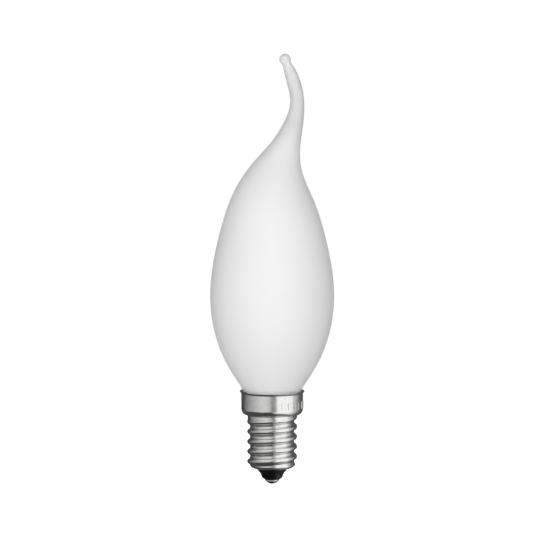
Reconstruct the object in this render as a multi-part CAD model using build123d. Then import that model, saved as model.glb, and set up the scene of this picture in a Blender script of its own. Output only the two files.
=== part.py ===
from build123d import *
import math
import os

# A candle lamp with a bent tip on a small Edison screw cap.
# The frosted glass bulb is blown in one piece: an egg whose top is drawn out into a bent tail with a bead.
# Its neck is cemented into a drawn metal cap with a skirt, a flared rim and a rolled thread.
# Black glass closes the cap's lower end and carries the centre contact.
# The cap holds the driver: a small upright board with its parts and wires.
#
# Millimetres. The cap's axis is Z, the contact's lowest point is the origin, and the tail bends towards +X.
# A height is above the origin, a step is a difference of two radii, and a rise is above what is named.

# Centre contact
contact_plate_radius = 2.05
contact_plate_thickness = 0.3
contact_hole_radius = 0.5
solder_step = 0.15  # from the plate's edge in to the solder
solder_height = 0.95

# Black glass insulator
waist_radius = 2.85
waist_bend_radius = 0.8
waist_rise = 0.5  # above the contact plate
flare_radius = 3.3
flare_bend_radius = 1.5
flare_rise = 1.25  # above the waist
cone_height = 1.65  # from the flare to the cap's mouth
plug_depth = 2.6  # inside the cap, above its mouth
plug_clearance = 0.15  # between the plug and the thread's inside
wire_passage_radius = 0.65

# Screw cap: one piece of drawn sheet with a rolled thread
cap_wall = 0.3
mouth_radius = 4.7
shoulder_height = 0.5
shoulder_step = 0.7  # from the thread's crest in to the shoulder
shoulder_bend_radius = 0.35
thread_major_radius = 6.8
thread_depth = 0.85
thread_pitch = 2.822  # nine turns to the inch
thread_crest_share = 0.4  # the crest arc's part of the crest and root radii
thread_height = 13.15  # from the shoulder to the plain land
thread_bed_step = 0.05  # from the thread's root in to the plain bed that it rises from
thread_bed_end = 0.5  # from the bed up or down to the shoulder or the land
thread_crest_rise = 1.32  # above the shoulder, a crest's height on the side of -X
thread_run_out = 1.1  # height over which the thread fades at each end
land_step = 0.15  # from the thread's crest in to the land
land_height = 1.5
land_bend_radius = 0.35
skirt_step = 1.79  # from the land out to the skirt
skirt_height = 6.2
skirt_corner_radius = 1.5
skirt_underside_rise = 0.55  # from the land out to the skirt
rim_reach = 0.55
rim_rise = 0.6
rim_bend_radius = 0.4

# Glass bulb: each rise is above the landmark before it, the first above the rim, and a reach is towards +X
cement_thickness = 0.58  # between the neck and the skirt
cement_height = 2.0
cement_top_drop = 0.9  # below the rim's root
rim_gap = 0.22  # between the glass and the rim's root
neck_floor_gap = 1.2  # between the neck and the skirt's floor
neck_corner_radius = 1.6
exhaust_tube_radius = 1.5
exhaust_tube_corner_radius = 1.1
exhaust_tube_gap = 1.8  # between the tube and the driver board
flank_radius = 10.7
flank_rise = 4.0
hip_radius = 14.98
hip_rise = 8.4
belly_radius = 17.5
belly_rise = 14.5
chest_radius = 15.05
chest_rise = 16.8
throat_radius = 11.42
throat_rise = 11.3
throat_reach = 0.4
tail_root_radius = 7.9
tail_root_rise = 6.8
tail_root_reach = 1.5
tail_slope_radius = 4.45
tail_slope_rise = 6.8
tail_slope_reach = 3.65
tail_radius = 2.72
tail_rise = 6.8
tail_reach = 6.0
bend_radius = 1.95
bend_rise = 6.8
bend_reach = 7.05
crook_radius = 1.9
crook_rise = 4.6
crook_reach = 6.2
tip_radius = 1.25
tip_rise = 5.6
tip_reach = 4.2
bead_radius = 1.6
bead_rise = 1.5  # its centre, along the tail from the tip
bead_crease_radius = 0.8

# Driver in the cap
wire_radius = 0.25
wire_bend_radius = 0.6
wire_stub = 0.4  # behind the board
hole_clearance = 0.05
resistor_radius = 1.0
resistor_waist_step = 0.12
resistor_cap_length = 0.8
resistor_length = 3.6
resistor_rise = 1.1  # above the insulator
sleeve_wall = 0.12
sleeve_overhang = 0.3
board_clearance = 0.4  # to the resistor's sleeve and to the cap
board_thickness = 0.8
lead_wire_spacing = 6.4
lead_wire_standoff = 0.9  # in front of the board
lead_hole_drop = 1.0  # below the board's top
shell_wire_side = 1.2
shell_wire_standoff = 0.8  # behind the board
capacitor_clearance = 0.3
capacitor_length = 6.0
capacitor_rise = 0.6  # above the insulator
capacitor_corner_radius = 0.3
capacitor_wire_rise = 0.75
capacitor_wire_spacing = 1.6
rectifier_width = 4.0
rectifier_depth = 1.6
rectifier_height = 3.5
rectifier_rise = 0.5  # above the board's lower edge
rectifier_legs = 2
chip_width = 2.6
chip_depth = 1.2
chip_height = 2.8
chip_rise = 0.6  # above the rectifier
chip_legs = 3
chip_hole_gap = 0.9  # below the lead holes
leg_reach = 0.8
leg_height = 0.45
leg_thickness = 0.2
ceramic_width = 1.2
ceramic_depth = 0.9
ceramic_height = 2.0
ceramic_side = 3.2
ceramic_rise = 3.6  # above the board's lower edge

# How finely the free-form surfaces are drawn, and how far a cutter passes what it cuts
glass_stations = 44  # along the middle line
thread_points = 32  # round a cross-section
thread_sections = 12  # to a turn
cutter_margin = 1.0

# Heights that follow from the sizes above
plate_top = solder_height + contact_plate_thickness
waist_height = plate_top + waist_rise
flare_height = waist_height + flare_rise
mouth_height = flare_height + cone_height
shoulder_top = mouth_height + shoulder_height
land_bottom = shoulder_top + thread_height
crest_height = shoulder_top + thread_crest_rise
thread_bottom = shoulder_top + thread_bed_end
thread_top = land_bottom - thread_bed_end
skirt_bottom = land_bottom + land_height
rim_root = skirt_bottom + skirt_height
rim_top = rim_root + rim_rise
cement_top = rim_root - cement_top_drop
neck_bottom = skirt_bottom + cap_wall + neck_floor_gap
shell_wire_height = neck_bottom - neck_floor_gap / 2
plug_top = mouth_height + plug_depth
rectifier_bottom = plug_top + rectifier_rise
chip_bottom = rectifier_bottom + rectifier_height + chip_rise
lead_hole_height = chip_bottom + chip_height + chip_hole_gap
board_top = lead_hole_height + lead_hole_drop
exhaust_tube_bottom = board_top + exhaust_tube_gap
capacitor_top = plug_top + capacitor_rise + capacitor_length
capacitor_hole_height = capacitor_top + capacitor_wire_rise
resistor_bottom = plug_top + resistor_rise
resistor_top = resistor_bottom + resistor_length

# Radii and places that follow
thread_minor_radius = thread_major_radius - thread_depth
thread_bed_radius = thread_minor_radius - thread_bed_step
shoulder_radius = thread_major_radius - shoulder_step
land_radius = thread_major_radius - land_step
skirt_radius = land_radius + skirt_step
thread_inside_radius = thread_minor_radius - cap_wall
skirt_inside_radius = skirt_radius - cap_wall
neck_radius = skirt_inside_radius - cement_thickness
sleeve_radius = resistor_radius + sleeve_wall
board_front = sleeve_radius + board_clearance
board_back = board_front + board_thickness
board_side = math.sqrt(thread_inside_radius**2 - board_back**2) - board_clearance
capacitor_radius = (thread_inside_radius - sleeve_radius) / 2 - capacitor_clearance
capacitor_depth = board_front - capacitor_clearance - capacitor_radius
capacitor_reach = sleeve_radius + capacitor_clearance + capacitor_radius
capacitor_side = math.sqrt(capacitor_reach**2 - capacitor_depth**2)


def turned(*outline):
    """A solid turned about Z from a closed outline of (radius, height) points."""
    return revolve(make_face(Plane.XZ * Polyline(*outline, close=True)), Axis.Z)


def turned_smooth(*outline, radii):
    """A solid turned about Z from an outline that starts and ends on Z, with a radius for each bend."""
    curve = FilletPolyline(*outline, radius=radii)
    return revolve(Plane.XZ * make_face([curve, Line(curve @ 1, curve @ 0)]), Axis.Z)


def rod(radius, low, high):
    """A round rod on Z, from one height to another."""
    return Pos(0, 0, low) * Cylinder(radius, high - low, align=(Align.CENTER, Align.CENTER, Align.MIN))


def block(width, depth, height, side, front, low):
    """A box centred sideways on a place, with its front face at a given Y, standing on a height."""
    return Pos(side, front, low) * Box(width, depth, height, align=(Align.CENTER, Align.MIN, Align.MIN))


def wire(*points):
    """A round wire along points, bent between them."""
    path = FilletPolyline(*points, radius=wire_bend_radius) if len(points) > 2 else Line(*points)
    return sweep(Plane(path @ 0, z_dir=path % 0) * Circle(wire_radius), path)


def thread_radius(drop, inset):
    """The thread's radius at a distance along the axis from its crest, on a surface moved in by inset.

    The crest and the root are arcs that meet in a tangent point, as rolling forms them.
    """
    half_pitch = thread_pitch / 2
    both_radii = (half_pitch**2 + thread_depth**2) / (2 * thread_depth)
    crest = both_radii * thread_crest_share - inset
    root = both_radii * (1 - thread_crest_share) + inset
    if drop < half_pitch * crest / both_radii:
        return thread_major_radius - inset - crest + math.sqrt(crest**2 - drop**2)
    return thread_minor_radius - inset + root - math.sqrt(root**2 - (half_pitch - drop) ** 2)


def thread_section(inset, height):
    """The thread's cross-section at a height, faded out towards both ends of the thread."""
    from_end = min(height - thread_bottom, thread_top - height)
    depth_share = math.sin(math.pi / 2 * min(1, from_end / thread_run_out)) ** 2
    root = thread_minor_radius - inset
    points = []
    for n in range(thread_points):
        turn = n / thread_points
        crests_up = (height - crest_height) / thread_pitch - turn
        full_radius = thread_radius(thread_pitch * abs(crests_up - round(crests_up)), inset)
        radius = root + depth_share * (full_radius - root)
        angle = math.pi + 2 * math.pi * turn
        points.append(Vector(radius * math.cos(angle), radius * math.sin(angle), height))
    shares = [n / thread_points for n in range(thread_points + 1)]
    return Wire([Edge.make_spline(points, periodic=True, parameters=shares)])


def threaded_rod(inset):
    """A right-hand thread, drawn through cross-sections that follow its rise."""
    steps = round((thread_top - thread_bottom) / thread_pitch * thread_sections)
    step = (thread_top - thread_bottom) / steps
    return Solid.make_loft(thread_section(inset, thread_bottom + step * n) for n in range(steps + 1))


def cap_profile():
    """Half section of the cap's filled form without its thread, carried past the rim for the hollow."""
    overrun = rim_top + cap_wall
    flare = rim_reach * (overrun - rim_root) / rim_rise
    outline = FilletPolyline(
        (0, mouth_height),
        (mouth_radius, mouth_height),
        (shoulder_radius, shoulder_top),
        (thread_bed_radius, thread_bottom),
        (thread_bed_radius, thread_top),
        (land_radius, land_bottom),
        (land_radius, skirt_bottom),
        (skirt_radius, skirt_bottom + skirt_underside_rise),
        (skirt_radius, rim_root),
        (skirt_radius + flare, overrun),
        (0, overrun),
        radius=[0, shoulder_bend_radius, 0, 0, 0, land_bend_radius, skirt_corner_radius, rim_bend_radius, 0],
    )
    return make_face([outline, Line(outline @ 1, outline @ 0)])


def cap_form(inset):
    """The cap's filled form, moved in by inset: the shoulder, the thread, and the land, skirt and rim."""
    profile = offset(cap_profile(), -inset, kind=Kind.INTERSECTION) if inset else cap_profile()
    turned_form = revolve(Plane.XZ * profile, Axis.Z)
    below = turned_form & rod(2 * skirt_radius, 0, thread_bottom)
    above = turned_form & rod(2 * skirt_radius, thread_top, rim_top + cap_wall)
    return below + threaded_rod(inset) + above


def cap_inside():
    """The cap's hollow, with its open mouth and its middle, which the inset leaves out."""
    return cap_form(cap_wall) + rod(mouth_radius, 0, rim_top + cap_wall)


def screw_cap():
    """Skirt, flared rim, rolled thread and coned shoulder, all drawn from one sheet."""
    above_rim = rod(2 * skirt_radius, rim_top, rim_top + cutter_margin)
    return cap_form(0) - cap_inside() - above_rim


def insulator():
    """Black glass cast into the cap's mouth, with a passage for the contact's wire."""
    plug = rod(thread_inside_radius - plug_clearance, mouth_height, plug_top) & cap_inside()
    cone = turned_smooth(
        (0, plate_top),
        (contact_plate_radius, plate_top),
        (waist_radius, waist_height),
        (flare_radius, flare_height),
        (mouth_radius, mouth_height),
        (0, mouth_height),
        radii=[0, waist_bend_radius, flare_bend_radius, 0],
    )
    return plug + cone - rod(wire_passage_radius, 0, plug_top + cutter_margin)


def contact_plate():
    """The disc at the insulator's foot that the contact's wire passes through."""
    disc = rod(contact_plate_radius, solder_height, plate_top)
    return disc - rod(contact_hole_radius, 0, plate_top + cutter_margin)


def contact_solder():
    """The solder drop that covers the plate and touches the lampholder."""
    solder_radius = contact_plate_radius - solder_step
    ball_radius = (solder_radius**2 + solder_height**2) / (2 * solder_height)
    ball = Pos(0, 0, ball_radius) * Sphere(ball_radius)
    return ball & rod(contact_plate_radius, 0, solder_height)


def cap_cement():
    """The ring of cement that holds the neck in the skirt."""
    low = cement_top - cement_height
    return rod(skirt_inside_radius, low, cement_top) - rod(neck_radius, low, cement_top)


def glass_middle_line():
    """The glass bulb's middle line and radius in one curve, as (sideways, radius, height) points."""
    height = rim_top
    points = [(0, neck_radius, cement_top), (0, skirt_inside_radius - rim_gap, rim_root)]
    for reach, radius, rise in (
        (0, flank_radius, flank_rise),
        (0, hip_radius, hip_rise),
        (0, belly_radius, belly_rise),
        (0, chest_radius, chest_rise),
        (throat_reach, throat_radius, throat_rise),
        (tail_root_reach, tail_root_radius, tail_root_rise),
        (tail_slope_reach, tail_slope_radius, tail_slope_rise),
        (tail_reach, tail_radius, tail_rise),
        (bend_reach, bend_radius, bend_rise),
        (crook_reach, crook_radius, crook_rise),
        (tip_reach, tip_radius, tip_rise),
    ):
        height += rise
        points.append((reach, radius, height))
    return Spline(*points)


def bead():
    """The bead, turned about the tail's own line as Z, with the tail's end at the origin."""
    stem = Pos(0, bead_rise / 2) * Rectangle(2 * tip_radius, bead_rise)
    section = stem + Pos(0, bead_rise) * Circle(bead_radius)
    creases = section.vertices().group_by(Axis.Y)[1]
    half = Pos(bead_radius, bead_rise) * Rectangle(2 * bead_radius, 2 * (bead_rise + bead_radius))
    return revolve(Plane.XZ * (fillet(creases, bead_crease_radius) & half), Axis.Z)


def glass_station(line, share):
    """The plane across the glass at a share of its middle line."""
    at = line @ share
    along = line % share
    return Plane((at.X, 0, at.Z), x_dir=(0, 1, 0), z_dir=(along.X, 0, along.Z))


def glass_bulb():
    """The sealed bulb: neck with its closed exhaust tube, egg, drawn tail and bead."""
    line = glass_middle_line()
    shares = [n / (glass_stations - 1) for n in range(glass_stations)]
    drawn = loft([glass_station(line, share) * Circle((line @ share).Y) for share in shares])
    neck = turned_smooth(
        (0, exhaust_tube_bottom),
        (exhaust_tube_radius, exhaust_tube_bottom),
        (exhaust_tube_radius, neck_bottom),
        (neck_radius, neck_bottom),
        (neck_radius, cement_top),
        (0, cement_top),
        radii=[exhaust_tube_corner_radius, 0, neck_corner_radius, 0],
    )
    return neck + drawn + glass_station(line, 1) * bead()


def resistor_wire():
    """The resistor's wire on Z, up from the contact and bent into the board."""
    low = Vector(0, 0, solder_height)
    return wire(low, (0, 0, lead_hole_height), (0, board_back + wire_stub, lead_hole_height))


def fusible_resistor():
    """The resistor in the contact's wire, with a pressed cap on each end."""
    waist = resistor_radius - resistor_waist_step
    body = turned(
        (0, resistor_bottom),
        (resistor_radius, resistor_bottom),
        (resistor_radius, resistor_bottom + resistor_cap_length),
        (waist, resistor_bottom + resistor_cap_length),
        (waist, resistor_top - resistor_cap_length),
        (resistor_radius, resistor_top - resistor_cap_length),
        (resistor_radius, resistor_top),
        (0, resistor_top),
    )
    return body + resistor_wire()


def resistor_sleeve():
    """The insulating sleeve on the resistor."""
    low = resistor_bottom - sleeve_overhang
    high = resistor_top + sleeve_overhang
    return rod(sleeve_radius, low, high) - rod(resistor_radius, low, high)


def capacitor_wire_sides():
    """Where the capacitor's two wires stand, sideways."""
    return [-capacitor_side - capacitor_wire_spacing / 2, -capacitor_side + capacitor_wire_spacing / 2]


def smoothing_capacitor():
    """The upright can with its two wires bent back into the board."""
    low = plug_top + capacitor_rise
    can = turned_smooth(
        (0, low),
        (capacitor_radius, low),
        (capacitor_radius, capacitor_top),
        (0, capacitor_top),
        radii=[capacitor_corner_radius, capacitor_corner_radius],
    )
    whole = Pos(-capacitor_side, capacitor_depth, 0) * can
    for side in capacitor_wire_sides():
        whole += wire(
            (side, capacitor_depth, capacitor_top),
            (side, capacitor_depth, capacitor_hole_height),
            (side, board_back + wire_stub, capacitor_hole_height),
        )
    return whole


def driver_board():
    """The board that stands on the insulator behind the resistor, with its wire holes."""
    board = block(2 * board_side, board_thickness, board_top - plug_top, 0, board_front, plug_top)
    lead_sides = [-lead_wire_spacing / 2, 0, shell_wire_side, lead_wire_spacing / 2]
    places = [(side, lead_hole_height) for side in lead_sides]
    places += [(side, capacitor_hole_height) for side in capacitor_wire_sides()]
    for side, height in places:
        hole = Rot(-90, 0, 0) * rod(wire_radius + hole_clearance, 0, board_back + cutter_margin)
        board -= Pos(side, 0, height) * hole
    return board


def package(width, depth, height, low, legs):
    """A moulded part on the board's back, with bent legs along its two upright sides."""
    body = block(width, depth, height, 0, board_back, low)
    for n in range(legs):
        leg_low = low + height * (n + 0.5) / legs - leg_height / 2
        for way in (-1, 1):
            foot_side = way * (width + leg_reach) / 2
            riser_side = way * (width + leg_thickness) / 2
            body += block(leg_reach, leg_thickness, leg_height, foot_side, board_back, leg_low)
            body += block(leg_thickness, depth / 2, leg_height, riser_side, board_back, leg_low)
    return body


def lead_wire(way):
    """A wire from the bulb's neck down in front of the board and back through it."""
    side = way * lead_wire_spacing / 2
    front = board_front - lead_wire_standoff
    return wire(
        (side, front, neck_bottom),
        (side, front, lead_hole_height),
        (side, board_back + wire_stub, lead_hole_height),
    )


def shell_wire():
    """The wire from the board up behind it, over the skirt's floor and out to the skirt's inside."""
    behind = board_back + shell_wire_standoff
    whole = wire(
        (shell_wire_side, board_front - wire_stub, lead_hole_height),
        (shell_wire_side, behind, lead_hole_height),
        (shell_wire_side, behind, shell_wire_height),
        (shell_wire_side, skirt_radius, shell_wire_height),
    )
    return whole & cap_inside()


nodes = {
    "glass_bulb": glass_bulb(),
    "screw_cap": screw_cap(),
    "insulator": insulator(),
    "contact_plate": contact_plate(),
    "contact_solder": contact_solder(),
    "cap_cement": cap_cement(),
    "driver_board": driver_board(),
    "bridge_rectifier": package(
        rectifier_width, rectifier_depth, rectifier_height, rectifier_bottom, rectifier_legs
    ),
    "driver_chip": package(chip_width, chip_depth, chip_height, chip_bottom, chip_legs),
    "smoothing_capacitor": smoothing_capacitor(),
    "ceramic_capacitor": block(
        ceramic_width,
        ceramic_depth,
        ceramic_height,
        ceramic_side,
        board_front - ceramic_depth,
        plug_top + ceramic_rise,
    ),
    "fusible_resistor": fusible_resistor(),
    "resistor_sleeve": resistor_sleeve(),
    "lead_wire_left": lead_wire(-1),
    "lead_wire_right": lead_wire(1),
    "shell_wire": shell_wire(),
}

os.makedirs("parts", exist_ok=True)
for name, solid in nodes.items():
    export_step(solid, f"parts/{name}.step")
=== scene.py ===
import math
import bpy
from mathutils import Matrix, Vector


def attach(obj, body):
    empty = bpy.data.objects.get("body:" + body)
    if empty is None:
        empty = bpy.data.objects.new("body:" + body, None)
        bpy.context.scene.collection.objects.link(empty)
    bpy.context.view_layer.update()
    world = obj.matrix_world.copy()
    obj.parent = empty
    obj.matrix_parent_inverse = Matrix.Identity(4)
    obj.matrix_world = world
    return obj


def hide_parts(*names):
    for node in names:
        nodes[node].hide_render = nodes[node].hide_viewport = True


# A satin-frosted candle lamp with a bent tip, in a nickel-plated E14 screw cap
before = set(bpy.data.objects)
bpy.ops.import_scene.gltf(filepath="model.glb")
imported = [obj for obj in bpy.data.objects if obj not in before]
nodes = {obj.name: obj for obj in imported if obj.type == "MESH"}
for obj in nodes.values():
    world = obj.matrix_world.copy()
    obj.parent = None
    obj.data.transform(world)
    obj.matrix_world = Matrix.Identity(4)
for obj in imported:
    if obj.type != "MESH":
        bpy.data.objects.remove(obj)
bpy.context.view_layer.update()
MM = 0.001


def linear(hex_colour):
    """An sRGB hex colour as linear RGBA."""
    parts = [int(hex_colour[n:n + 2], 16) / 255 for n in (1, 3, 5)]
    return [c / 12.92 if c <= 0.04045 else ((c + 0.055) / 1.055) ** 2.4 for c in parts] + [1.0]


def add_node(owner, kind, settings=None, stops=(), in_order=(), **links):
    """A shader node with its settings, its ramp's stops of (place, RGBA), and what is linked into it.

    Links go to the inputs in order, or by name, with _ for a space.
    """
    tree = owner.node_tree
    node = tree.nodes.new(kind)
    for name, value in (settings or {}).items():
        if name in node.inputs:
            node.inputs[name].default_value = value
        else:
            setattr(node, name, value)
    for n, (place, colour) in enumerate(stops):
        elements = node.color_ramp.elements
        stop = elements[n] if n < 2 else elements.new(place)
        stop.position = place
        stop.color = colour
    for n, source in enumerate(in_order):
        tree.links.new(source, node.inputs[n])
    for name, source in links.items():
        tree.links.new(source, node.inputs[name.replace("_", " ")])
    return node


def new_material(name):
    """An empty node material."""
    material = bpy.data.materials.new(name)
    material.use_nodes = True
    material.node_tree.nodes.clear()
    return material


def close_material(material, shader):
    """Joins the shader to the material's output."""
    add_node(material, "ShaderNodeOutputMaterial", Surface=shader)
    return material


# The middle part of a noise, in which nearly all of it lies
NOISE_LOW, NOISE_HIGH = 0.35, 0.65
NOISE_DETAIL = 3.0


def grained(name, light, dark, grain, rough, relief, settings=None, painted_shade_by_height=None):
    """A finish whose colour, gloss and relief vary together over a grain in millimetres.

    Painted shade by height is a lowest and a highest height in millimetres, and stops of painted shade between
    them.
    """
    material = new_material(name)
    place = add_node(material, "ShaderNodeTexCoord").outputs["Object"]
    scale = {"Scale": 1 / (grain * MM), "Detail": NOISE_DETAIL}
    noise = add_node(material, "ShaderNodeTexNoise", scale, Vector=place).outputs["Fac"]
    tones = [(NOISE_LOW, linear(dark)), (NOISE_HIGH, linear(light))]
    colour = add_node(material, "ShaderNodeValToRGB", stops=tones, Fac=noise).outputs["Color"]
    # Painted shade: the colour is darkened by height, between the given stops
    if painted_shade_by_height:
        low, high, *shade_stops = painted_shade_by_height
        up = add_node(material, "ShaderNodeSeparateXYZ", Vector=place).outputs["Z"]
        reach = {"From Min": low * MM, "From Max": high * MM}
        share = add_node(material, "ShaderNodeMapRange", reach, Value=up).outputs["Result"]
        stops = [(spot, linear(hex_colour)) for spot, hex_colour in shade_stops]
        painted_shade = add_node(material, "ShaderNodeValToRGB", stops=stops, Fac=share).outputs["Color"]
        times = {"operation": "MULTIPLY"}
        colour = add_node(material, "ShaderNodeVectorMath", times, in_order=(colour, painted_shade)).outputs["Vector"]
    span = {"From Min": NOISE_LOW, "From Max": NOISE_HIGH, "To Min": rough[0], "To Max": rough[1]}
    gloss = add_node(material, "ShaderNodeMapRange", span, Value=noise).outputs["Result"]
    bump = add_node(material, "ShaderNodeBump", {"Distance": relief * MM}, Height=noise).outputs["Normal"]
    body = add_node(
        material, "ShaderNodeBsdfPrincipled", settings, Base_Color=colour, Roughness=gloss, Normal=bump
    )
    return close_material(material, body.outputs["BSDF"])


METAL = {"Metallic": 1.0}
FROSTED = {
    "IOR": 1.5,
    "Subsurface Weight": 0.15,
    "Subsurface Radius": (1.0, 1.0, 1.0),
    "Subsurface Scale": 1.2 * MM,
}
GLOSSY_GLASS = {"IOR": 1.45}
# Painted shade on the tail: the lowest and highest heights in millimetres, then stops of grey between them
TAIL_PAINTED_SHADE = (
    85, 120, (0.0, "#ffffff"), (0.28, "#f9f9f9"), (0.5, "#e6e6e6"), (0.77, "#e8e8e8"), (1.0, "#f1f1f1")
)

# Acid-etched glass: pale, even and matt, with painted shade that greys its solid drawn tail, where less light
# glows through it.
# Its real grain is about 0.02 mm, drawn at 0.25 mm so that a close look shows it.
etched_glass = grained(
    "acid_etched_glass", "#f5f5f5", "#f3f3f3", 0.25, (0.58, 0.62), 0.002, FROSTED, TAIL_PAINTED_SHADE
)
# Bright nickel plated on drawn brass: a clear mirror with a slight haze in patches of about 1 mm
plated_nickel = grained("nickel_plated_sheet", "#dadad9", "#d0d0cf", 1.2, (0.1, 0.2), 0.003, METAL)
# Black glass cast hot into the cap: deep black under a clear gloss, with ripples 2 mm apart
cast_glass = grained("black_cast_glass", "#060607", "#040404", 2.0, (0.08, 0.14), 0.01, GLOSSY_GLASS)
# Stamped brass, tinned all over: pale grey, a little warm, with a soft shine in patches of 0.5 mm
tinned_brass = grained("tinned_brass_plate", "#c4c2bb", "#b0ada4", 0.5, (0.25, 0.4), 0.004, METAL)
# Tin solder, dropped on and left to set: grey and part dull, with lumps of about 1 mm
set_solder = grained("tin_solder_drop", "#a4a4a5", "#858587", 0.9, (0.2, 0.42), 0.05, METAL)
# Cured lamp cement: matt, pale and gritty, with grit of 0.3 mm
cured_cement = grained("cured_cap_cement", "#bdb29c", "#a4977f", 0.3, (0.85, 0.95), 0.05)
# Solder mask over woven glass cloth: green, with the ripple of threads 0.4 mm apart under its gloss
green_mask = grained("green_solder_mask", "#1f6b3c", "#165030", 0.4, (0.25, 0.4), 0.01)
# Moulded epoxy: black and dull. Its real grain is about 0.03 mm, drawn at 0.15 mm so that it shows.
black_epoxy = grained("moulded_epoxy", "#222223", "#19191a", 0.15, (0.5, 0.65), 0.008)
# Sleeve shrunk on to the can: dark blue, smooth and shiny, with waves of about 1 mm
shrunk_sleeve = grained("shrunk_capacitor_sleeve", "#1c2a45", "#172238", 1.0, (0.22, 0.3), 0.006)
# Dipped and fired ceramic: tan and slightly mottled, over 0.4 mm
fired_ceramic = grained("dipped_ceramic", "#b98f60", "#a67d50", 0.4, (0.4, 0.55), 0.01)
# Lacquer dipped on the resistor: grey-blue and glossy, thicker in places of 0.8 mm
blue_lacquer = grained("resistor_lacquer", "#567f8e", "#476d7b", 0.8, (0.15, 0.25), 0.01)
# Extruded silicone sleeve: milky, smooth and a little waxy, uneven over 0.8 mm
milky_sleeve = grained("extruded_insulating_sleeve", "#dcdad0", "#cfccc0", 0.8, (0.35, 0.45), 0.004)
# Tinned copper wire, drawn: bright, with dull patches of 0.3 mm
tinned_copper = grained("tinned_copper_wire", "#cfcfd0", "#bcbcbd", 0.3, (0.18, 0.35), 0.006, METAL)

FINISHES = {
    "glass_bulb": etched_glass,
    "insulator": cast_glass,
    "contact_plate": tinned_brass,
    "contact_solder": set_solder,
    "cap_cement": cured_cement,
    "driver_board": green_mask,
    "bridge_rectifier": black_epoxy,
    "driver_chip": black_epoxy,
    "smoothing_capacitor": shrunk_sleeve,
    "ceramic_capacitor": fired_ceramic,
    "fusible_resistor": blue_lacquer,
    "resistor_sleeve": milky_sleeve,
    "lead_wire_left": tinned_copper,
    "lead_wire_right": tinned_copper,
    "shell_wire": tinned_copper,
}
for node_name, finish in FINISHES.items():
    nodes[node_name].data.materials.clear()
    nodes[node_name].data.materials.append(finish)

# Screw cap, in millimetres: heights are above the contact's lowest point, and the outline is the wall's inner side
MOUTH_RADIUS, MOUTH_HEIGHT = 4.7, 4.65
SHOULDER_RADIUS, SHOULDER_HEIGHT, SHOULDER_BEND = 5.6, 4.95, 0.35
THREAD_BOTTOM, THREAD_BED = 5.2, 5.9
THREAD_MAJOR, THREAD_DEPTH, THREAD_PITCH = 6.8, 0.85, 2.822
CREST_SHARE = 0.32
LEFT_CREST_HEIGHT = 6.47
RUN_IN_HEIGHT = 0.7
LAST_GROOVE, FADE_TURN = 4, 0.9 * math.pi
LAND_RADIUS = 6.65
SKIRT_BOTTOM, SKIRT_RADIUS, SKIRT_RISE, SKIRT_BEND = 19.8, 8.44, 0.55, 1.5
RIM_ROOT, RIM_TOP, RIM_REACH, RIM_BEND = 26.0, 26.6, 0.55, 0.4
SHEET_THICKNESS = 0.3
CAP_STEPS, THREAD_RINGS = 160, 116
ARC_STEP = math.radians(12)
SMOOTH_UP_TO = math.radians(55)
HAIR, MERGE_WITHIN = 0.01, 0.001
# Ticks raised on the skirt, each as wide as one of the cap's steps; the camera's side is at -90 degrees
TICK_LOW, TICK_HIGH = 21.8, 23.7
TICK_EVERY, TICK_COUNT = 6, 11
FIRST_TICK_ANGLE = math.radians(-72)
TICK_INSET, TICK_RISE = 0.1, 0.22


def rounded_outline(*corners):
    """Points along a line of (radius, height, corner radius), with an arc at each rounded corner."""
    points = []
    for n, (radius, height, bend) in enumerate(corners):
        here = Vector((radius, height))
        if not bend:
            points.append(here)
            continue
        before = (Vector(corners[n - 1][:2]) - here).normalized()
        after = (Vector(corners[n + 1][:2]) - here).normalized()
        half = before.angle(after) / 2
        middle = here + (before + after).normalized() * bend / math.sin(half)
        start = here + before * bend / math.tan(half) - middle
        sweep = start.angle_signed(here + after * bend / math.tan(half) - middle)
        steps = max(3, round(abs(sweep) / ARC_STEP))
        for step in range(steps + 1):
            turn = -sweep * step / steps
            points.append(middle + Vector((
                start.x * math.cos(turn) - start.y * math.sin(turn),
                start.x * math.sin(turn) + start.y * math.cos(turn),
            )))
    return points


def thread_radius(drop):
    """The thread's radius at a height above or below its crest: crest and root are arcs that meet."""
    half_pitch = THREAD_PITCH / 2
    both = (half_pitch**2 + THREAD_DEPTH**2) / (2 * THREAD_DEPTH)
    crest, root = both * CREST_SHARE, both * (1 - CREST_SHARE)
    if drop < half_pitch * CREST_SHARE:
        return THREAD_MAJOR - crest + math.sqrt(crest**2 - drop**2)
    return THREAD_MAJOR - THREAD_DEPTH + root - math.sqrt(root**2 - (half_pitch - drop) ** 2)


def rolled_radius(angle, height):
    """The cap's radius in its threaded zone; angle 0 is +X, and the last groove fades out behind the cap."""
    turns = (height - LEFT_CREST_HEIGHT) / THREAD_PITCH - (angle - math.pi) / (2 * math.pi)
    drop = abs(turns - round(turns)) * THREAD_PITCH
    radius = thread_radius(drop)
    groove = math.floor(turns)
    if groove >= LAST_GROOVE:
        plain = 1.0 if groove > LAST_GROOVE else min(1.0, max(0.0, angle / FADE_TURN))
        radius += plain * (max(LAND_RADIUS, radius) - radius)
    bed = THREAD_BED + (height - THREAD_BOTTOM) / RUN_IN_HEIGHT * (THREAD_MAJOR - THREAD_BED)
    return min(radius, max(THREAD_BED, bed))


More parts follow.
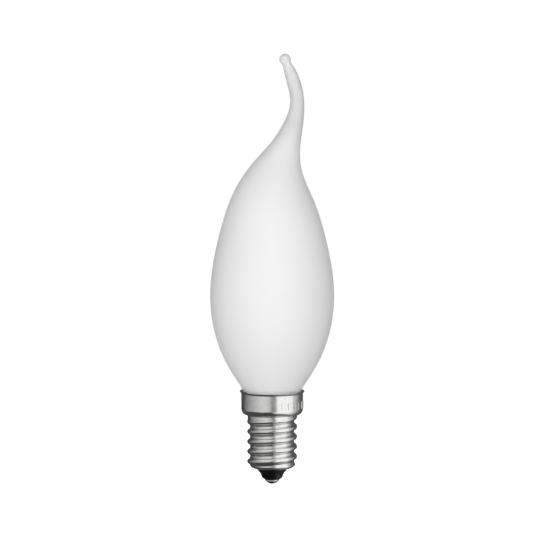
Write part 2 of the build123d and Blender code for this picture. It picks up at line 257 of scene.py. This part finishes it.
def turn_sheet(name, outline):
    """A turned sheet: its outline in (radius, height) is drawn point by point and spun about Z."""
    bpy.ops.object.select_all(action="DESELECT")
    bpy.ops.mesh.primitive_plane_add(size=MM)
    sheet = bpy.context.object
    sheet.name = name
    bpy.ops.object.mode_set(mode="EDIT")
    bpy.ops.mesh.select_all(action="SELECT")
    bpy.ops.mesh.merge(type="CENTER")
    here = Vector((0, 0, 0))
    for n, (radius, height) in enumerate(outline):
        there = Vector((radius * MM, 0, height * MM))
        if n:
            bpy.ops.mesh.extrude_vertices_move(TRANSFORM_OT_translate={"value": there - here})
        else:
            bpy.ops.transform.translate(value=there)
        here = there
    bpy.ops.mesh.select_all(action="SELECT")
    bpy.ops.mesh.spin(steps=CAP_STEPS, angle=2 * math.pi, center=(0, 0, 0), axis=(0, 0, 1))
    bpy.ops.mesh.select_all(action="SELECT")
    bpy.ops.mesh.remove_doubles(threshold=MERGE_WITHIN * MM)
    bpy.ops.mesh.normals_make_consistent(inside=False)
    bpy.ops.object.mode_set(mode="OBJECT")
    return sheet


def roll_thread(cap):
    """Moves the points of the plain threaded zone to the rolled thread."""
    for vertex in cap.data.vertices:
        height = vertex.co.z / MM
        if THREAD_BOTTOM < height < SKIRT_BOTTOM - HAIR:
            angle = math.atan2(vertex.co.y, vertex.co.x)
            vertex.co.xy = Vector((math.cos(angle), math.sin(angle))) * rolled_radius(angle, height) * MM


def raise_ticks(cap):
    """Raises a row of plain ticks on the skirt, from the front's right to the back; the sheet faces the axis."""
    step = 2 * math.pi / CAP_STEPS
    first = round(FIRST_TICK_ANGLE / step)
    columns = [first + n * TICK_EVERY for n in range(TICK_COUNT)]
    bpy.ops.object.mode_set(mode="EDIT")
    bpy.ops.mesh.select_all(action="DESELECT")
    bpy.ops.mesh.select_mode(type="FACE")
    bpy.ops.object.mode_set(mode="OBJECT")
    for face in cap.data.polygons:
        if TICK_LOW * MM < face.center.z < TICK_HIGH * MM:
            face.select = math.floor(math.atan2(face.center.y, face.center.x) / step) in columns
    bpy.ops.object.mode_set(mode="EDIT")
    bpy.ops.mesh.inset(thickness=TICK_INSET * MM, depth=-TICK_RISE * MM)
    bpy.ops.object.mode_set(mode="OBJECT")


def make_cap():
    """The drawn cap with its coned shoulder, rolled thread, skirt, flared rim and raised ticks.

    The spun sheet faces the axis, so its wall is added outside the outline.
    """
    shoulder = rounded_outline(
        (MOUTH_RADIUS, MOUTH_HEIGHT, 0),
        (SHOULDER_RADIUS, SHOULDER_HEIGHT, SHOULDER_BEND),
        (THREAD_BED, THREAD_BOTTOM, 0),
    )
    ring_rise = (SKIRT_BOTTOM - THREAD_BOTTOM) / THREAD_RINGS
    zone = [Vector((THREAD_BED, THREAD_BOTTOM + ring_rise * n)) for n in range(THREAD_RINGS)]
    skirt = rounded_outline(
        (LAND_RADIUS, SKIRT_BOTTOM, 0),
        (SKIRT_RADIUS, SKIRT_BOTTOM + SKIRT_RISE, SKIRT_BEND),
        (SKIRT_RADIUS, TICK_LOW, 0),
        (SKIRT_RADIUS, TICK_HIGH, 0),
        (SKIRT_RADIUS, RIM_ROOT, RIM_BEND),
        (SKIRT_RADIUS + RIM_REACH, RIM_TOP, 0),
    )
    cap = turn_sheet("cap_sheet", shoulder[:-1] + zone + skirt)
    roll_thread(cap)
    raise_ticks(cap)
    sheet = cap.modifiers.new("sheet", "SOLIDIFY")
    sheet.thickness = SHEET_THICKNESS * MM
    sheet.offset = -1.0
    bpy.ops.object.modifier_apply(modifier=sheet.name)
    bpy.ops.object.shade_smooth_by_angle(angle=SMOOTH_UP_TO)
    return cap


cap = make_cap()
cap.data.materials.append(plated_nickel)
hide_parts("screw_cap")
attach(cap, "root")

# Photograph: a square frame, upright, seen from a little above through a long lens
IMAGE_SIDE = 533
AXIS_COLUMN = 272.15
CONTACT_ROW = 484.5
MM_PER_PIXEL = 0.2823
LENS = 420.0
SENSOR = 36.0
CAMERA_RISE = math.radians(5.5)


def place_camera():
    """The photograph's view: the cap's axis at its column, and the contact's lowest point at its row."""
    middle = IMAGE_SIDE / 2
    pixel = MM_PER_PIXEL * MM
    height = (CONTACT_ROW - middle) * pixel / math.cos(CAMERA_RISE)
    aim = Vector(((middle - AXIS_COLUMN) * pixel, 0, height))
    back = Vector((0, -math.cos(CAMERA_RISE), math.sin(CAMERA_RISE)))
    data = bpy.data.cameras.new("camera")
    data.lens = LENS
    data.sensor_width = SENSOR
    camera = bpy.data.objects.new("camera", data)
    bpy.context.scene.collection.objects.link(camera)
    camera.location = aim + back * (IMAGE_SIDE * pixel * LENS / SENSOR)
    camera.rotation_mode = "QUATERNION"
    camera.rotation_quaternion = (-back).to_track_quat("-Z", "Y")
    bpy.context.scene.camera = camera


# Studio, in metres; the fill is the world's own light on the lamp
WHITE = (1, 1, 1, 1)
FILL = 0.33
FLOOR_SIZE, FLOOR_DEPTH = 6.0, 80 * MM
FLOOR_GLOW = 0.72
MOTTLES_PER_METRE = 4.0
LIGHT_DISTANCE, LIGHT_AIM = 0.8, 50 * MM
# Soft lights: azimuth from the camera's side and rise in degrees, width, height, and radiance
SOFT_LIGHTS = {
    "front_softbox": (3, 18, 0.5, 0.5, 3.5),
    "right_softbox": (40, 10, 0.5, 0.6, 0.35),
    "left_softbox": (-45, 10, 0.5, 0.6, 1.0),
    "rear_softbox": (180, 18, 0.3, 0.3, 7.0),
}
# Standing cards for the nickel to mirror: distance, foot, top, and grey levels by azimuth
STANDING_CARDS = {
    "left_wall": (0.70, -0.22, 0.8, [
        (-104, 0.35), (-85, 0.5), (-65, 0.66), (-48, 0.8), (-32, 0.9), (-16, 0.83), (-8, 0.7), (-1, 0.42)
    ]),
    "camera_side": (0.75, -0.22, 0.8, [(-3, 0.36), (8, 0.38), (17, 0.7)]),
    "right_wall": (0.70, -0.5, 0.8, [(15, 0.75), (19, 1.2), (24, 1.32), (78, 1.28), (86, 1.0)]),
    "left_flag": (0.75, -0.9, 1.6, [(-178, 0.12), (-135, 0.07), (-122, 0.18), (-102, 0.37)]),
    "right_flag": (0.75, -0.9, 1.6, [(84, 0.9), (94, 0.69), (106, 0.5), (120, 0.2), (137, 0.12), (178, 0.1)]),
}
# Level cards below the lamp, for its undersides to mirror: centre, size, and grey level
LYING_CARDS = {
    "low_left": ((-0.4, -0.1, -0.23), (0.9, 1.8), 0.08),
    "low_right": ((0.3, -0.1, -0.6), (0.5, 1.8), 0.25),
}


def white_to_the_eye(owner, seen, otherwise):
    """Mixes two shaders: one for what the camera, a mirror or clear glass sees, and one for all else."""
    path = add_node(owner, "ShaderNodeLightPath").outputs
    either = {"operation": "MAXIMUM"}
    eye = add_node(owner, "ShaderNodeMath", either, in_order=(path["Is Camera Ray"], path["Is Glossy Ray"]))
    eye = add_node(owner, "ShaderNodeMath", either, in_order=(eye.outputs[0], path["Is Transmission Ray"]))
    return add_node(owner, "ShaderNodeMixShader", in_order=(eye.outputs[0], otherwise, seen)).outputs[0]


def light_world():
    """A white studio: white where it is seen, and a softer fill on the lamp."""
    world = bpy.data.worlds.new("studio")
    world.use_nodes = True
    world.node_tree.nodes.clear()
    bpy.context.scene.world = world
    white = add_node(world, "ShaderNodeBackground", {"Color": WHITE, "Strength": 1.0})
    fill = add_node(world, "ShaderNodeBackground", {"Color": WHITE, "Strength": FILL})
    shown = white_to_the_eye(world, white.outputs[0], fill.outputs[0])
    add_node(world, "ShaderNodeOutputWorld", Surface=shown)


def add_plane(name, size, place, turn=(0, 0, 0)):
    """A plane at its size, place and turn, all of them in its mesh."""
    bpy.ops.object.select_all(action="DESELECT")
    bpy.ops.mesh.primitive_plane_add(size=1.0)
    plane = bpy.context.object
    plane.name = name
    plane.scale = (*size, 1)
    plane.rotation_euler = turn
    plane.location = place
    bpy.ops.object.transform_apply(location=True, rotation=True, scale=True)
    return plane


def lay_floor():
    """The pale floor far under the lamp: lifted to white, with its shadow kept, and clear from below."""
    floor = add_plane("floor", (FLOOR_SIZE, FLOOR_SIZE), (0, 0, -FLOOR_DEPTH))
    paint = new_material("pale_floor")
    place = add_node(paint, "ShaderNodeTexCoord").outputs["Object"]
    mottle = add_node(paint, "ShaderNodeTexNoise", {"Scale": MOTTLES_PER_METRE}, Vector=place)
    tones = [(0.3, linear("#f0f0f0")), (0.7, linear("#f4f4f4"))]
    tone = add_node(paint, "ShaderNodeValToRGB", stops=tones, Fac=mottle.outputs["Fac"])
    coat = add_node(paint, "ShaderNodeBsdfDiffuse", Color=tone.outputs["Color"]).outputs[0]
    glow = add_node(paint, "ShaderNodeEmission", {"Color": WHITE, "Strength": FLOOR_GLOW}).outputs[0]
    lit = add_node(paint, "ShaderNodeAddShader", in_order=(coat, glow)).outputs[0]
    above = white_to_the_eye(paint, lit, coat)
    below = add_node(paint, "ShaderNodeBsdfTransparent").outputs[0]
    underside = add_node(paint, "ShaderNodeNewGeometry").outputs["Backfacing"]
    shown = add_node(paint, "ShaderNodeMixShader", in_order=(underside, above, below))
    floor.data.materials.append(close_material(paint, shown.outputs[0]))
    floor.visible_glossy = False


def hang_softbox(name, azimuth, rise, width, height, radiance):
    """A rectangular soft light that faces the bulb."""
    a, e = math.radians(azimuth), math.radians(rise)
    out = Vector((math.sin(a) * math.cos(e), -math.cos(a) * math.cos(e), math.sin(e)))
    data = bpy.data.lights.new(name, "AREA")
    data.shape = "RECTANGLE"
    data.size = width
    data.size_y = height
    data.energy = radiance * width * height * math.pi
    softbox = bpy.data.objects.new(name, data)
    bpy.context.scene.collection.objects.link(softbox)
    softbox.location = Vector((0, 0, LIGHT_AIM)) + out * LIGHT_DISTANCE
    softbox.rotation_mode = "QUATERNION"
    softbox.rotation_quaternion = (-out).to_track_quat("-Z", "Y")
    softbox.visible_glossy = False


def show_in_mirrors_alone(card, material, glow):
    """Gives a card its glow, which only mirror-like surfaces see."""
    card.data.materials.append(close_material(material, glow.outputs[0]))
    card.visible_camera = False
    card.visible_diffuse = False
    card.visible_shadow = False
    card.visible_transmission = False


def stand_card(name, distance, foot, top, levels):
    """An upright card beside the lamp, with its grey levels from its left edge to its right."""
    first, last = levels[0][0], levels[-1][0]
    facing = math.radians((first + last) / 2)
    half = math.tan(math.radians(last - first) / 2)
    centre = (math.sin(facing) * distance, -math.cos(facing) * distance, (foot + top) / 2)
    card = add_plane(name, (2 * half * distance, top - foot), centre, (math.pi / 2, 0, facing))
    stops = []
    for azimuth, level in levels:
        spot = 0.5 + math.tan(math.radians(azimuth) - facing) / (2 * half)
        stops.append((spot, (level, level, level, 1.0)))
    material = new_material(name)
    place = add_node(material, "ShaderNodeTexCoord").outputs["UV"]
    across = add_node(material, "ShaderNodeSeparateXYZ", Vector=place).outputs["X"]
    grey = add_node(material, "ShaderNodeValToRGB", stops=stops, Fac=across).outputs["Color"]
    glow = add_node(material, "ShaderNodeEmission", {"Strength": 1.0}, Color=grey)
    show_in_mirrors_alone(card, material, glow)


def lay_card(name, centre, size, level):
    """A level card below the lamp."""
    card = add_plane(name, size, centre)
    material = new_material(name)
    glow = add_node(material, "ShaderNodeEmission", {"Color": WHITE, "Strength": level})
    show_in_mirrors_alone(card, material, glow)


place_camera()
light_world()
lay_floor()
for name, settings in SOFT_LIGHTS.items():
    hang_softbox(name, *settings)
for name, settings in STANDING_CARDS.items():
    stand_card(name, *settings)
for name, settings in LYING_CARDS.items():
    lay_card(name, *settings)

scene = bpy.context.scene
scene.view_settings.view_transform = "Standard"
